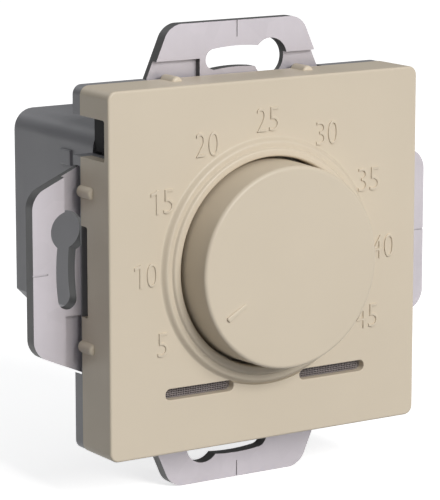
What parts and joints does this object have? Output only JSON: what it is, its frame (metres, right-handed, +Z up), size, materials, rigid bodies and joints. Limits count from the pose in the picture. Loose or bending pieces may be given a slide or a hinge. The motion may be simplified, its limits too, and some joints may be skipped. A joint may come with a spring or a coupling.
{
  "type": "wall thermostat",
  "caption": "Flush-mounted room thermostat: square satin beige cover with a round dial knob over a numbered scale, vent slots, slotted steel mounting ears and a deep grey rear housing.",
  "frame": {"origin": "on the knob's axis, in the plane of the wall, which is the rear face of the four mounting ears", "axes": "+Z up, the dial faces -Y, +Y goes into the wall box, +X to the right seen from the front"},
  "size_m": [0.0708, 0.0422, 0.0708],
  "materials": {
    "beige_plastic": "warm beige satin moulded plastic",
    "black_epoxy": "moulded black epoxy",
    "black_plastic": "black moulded plastic",
    "can_sleeve": "dark sleeve on aluminium can",
    "capacitor_plastic": "yellow box capacitor case",
    "dark_mesh": "fine dark woven mesh",
    "fuse_ceramic": "pale ceramic cartridge",
    "green_board": "green solder mask on glass epoxy",
    "grey_plastic": "mid grey fine-grained moulded plastic",
    "relay_plastic": "dark blue relay case",
    "sensor_epoxy": "dipped dark epoxy bead",
    "shaft_plastic": "off-white plastic shaft",
    "spring_steel": "spring steel",
    "terminal_plastic": "dark grey glass-filled plastic",
    "tinned_brass": "tin plated brass",
    "tinned_steel": "tinned steel can",
    "track_board": "brown phenolic board with carbon track",
    "varistor_coating": "blue dipped coating",
    "zinc_screw": "zinc plated screw",
    "zinc_steel": "bright zinc plate on stamped sheet steel"
  },
  "bodies": {
    "base": {"mounting_plate": "zinc_steel", "front_cover": "beige_plastic", "vent_screens": "dark_mesh", "cover_screws": "zinc_screw", "carrier_frame": "grey_plastic", "inner_chassis": "black_plastic", "rear_housing": "grey_plastic", "housing_screws": "zinc_screw", "potentiometer_can": "tinned_steel", "potentiometer_track": "track_board", "control_board": "green_board", "comparator_chip": "black_epoxy", "resistors": "black_epoxy", "room_sensor": "sensor_epoxy", "header_pins": "tinned_brass", "header_spacer": "black_plastic", "power_board": "green_board", "power_leads": "tinned_brass", "relay": "relay_plastic", "dropper_capacitor": "capacitor_plastic", "smoothing_capacitors": "can_sleeve", "varistor": "varistor_coating", "fuse": "fuse_ceramic", "rectifier_diodes": "black_epoxy", "terminal_block": "terminal_plastic", "contact_bars": "tinned_brass"},
    "knob": {"dial_knob": "beige_plastic", "knob_clip": "spring_steel", "potentiometer_shaft": "shaft_plastic", "potentiometer_wiper": "spring_steel"},
    "screw_1": {"terminal_screw_1": "zinc_screw"},
    "clamp_1": {"wire_clamp_1": "zinc_steel"},
    "screw_2": {"terminal_screw_2": "zinc_screw"},
    "clamp_2": {"wire_clamp_2": "zinc_steel"},
    "screw_3": {"terminal_screw_3": "zinc_screw"},
    "clamp_3": {"wire_clamp_3": "zinc_steel"},
    "screw_4": {"terminal_screw_4": "zinc_screw"},
    "clamp_4": {"wire_clamp_4": "zinc_steel"}
  },
  "joints": [
    {"name": "dial_turn", "type": "hinge", "parent": "base", "child": "knob", "pos_m": [0, 0, 0], "axis": [0, 1, 0], "range_deg": [0, 240]},
    {"name": "terminal_screw_1_turn", "type": "hinge", "parent": "base", "child": "screw_1", "pos_m": [-0.0087, 0.018, -0.0134], "axis": [0, -1, 0], "range_deg": [0, 1872]},
    {"name": "wire_clamp_1_rise", "type": "slide", "parent": "base", "child": "clamp_1", "axis": [0, 1, 0], "range_m": [0, 0.0026]},
    {"name": "terminal_screw_2_turn", "type": "hinge", "parent": "base", "child": "screw_2", "pos_m": [-0.0029, 0.018, -0.0134], "axis": [0, -1, 0], "range_deg": [0, 1872]},
    {"name": "wire_clamp_2_rise", "type": "slide", "parent": "base", "child": "clamp_2", "axis": [0, 1, 0], "range_m": [0, 0.0026]},
    {"name": "terminal_screw_3_turn", "type": "hinge", "parent": "base", "child": "screw_3", "pos_m": [0.0029, 0.018, -0.0134], "axis": [0, -1, 0], "range_deg": [0, 1872]},
    {"name": "wire_clamp_3_rise", "type": "slide", "parent": "base", "child": "clamp_3", "axis": [0, 1, 0], "range_m": [0, 0.0026]},
    {"name": "terminal_screw_4_turn", "type": "hinge", "parent": "base", "child": "screw_4", "pos_m": [0.0087, 0.018, -0.0134], "axis": [0, -1, 0], "range_deg": [0, 1872]},
    {"name": "wire_clamp_4_rise", "type": "slide", "parent": "base", "child": "clamp_4", "axis": [0, 1, 0], "range_m": [0, 0.0026]}
  ],
  "couplings": [
    {"joint": "terminal_screw_1_turn", "follows": "wire_clamp_1_rise", "rad_per_m": 12566},
    {"joint": "terminal_screw_2_turn", "follows": "wire_clamp_2_rise", "rad_per_m": 12566},
    {"joint": "terminal_screw_3_turn", "follows": "wire_clamp_3_rise", "rad_per_m": 12566},
    {"joint": "terminal_screw_4_turn", "follows": "wire_clamp_4_rise", "rad_per_m": 12566}
  ]
}
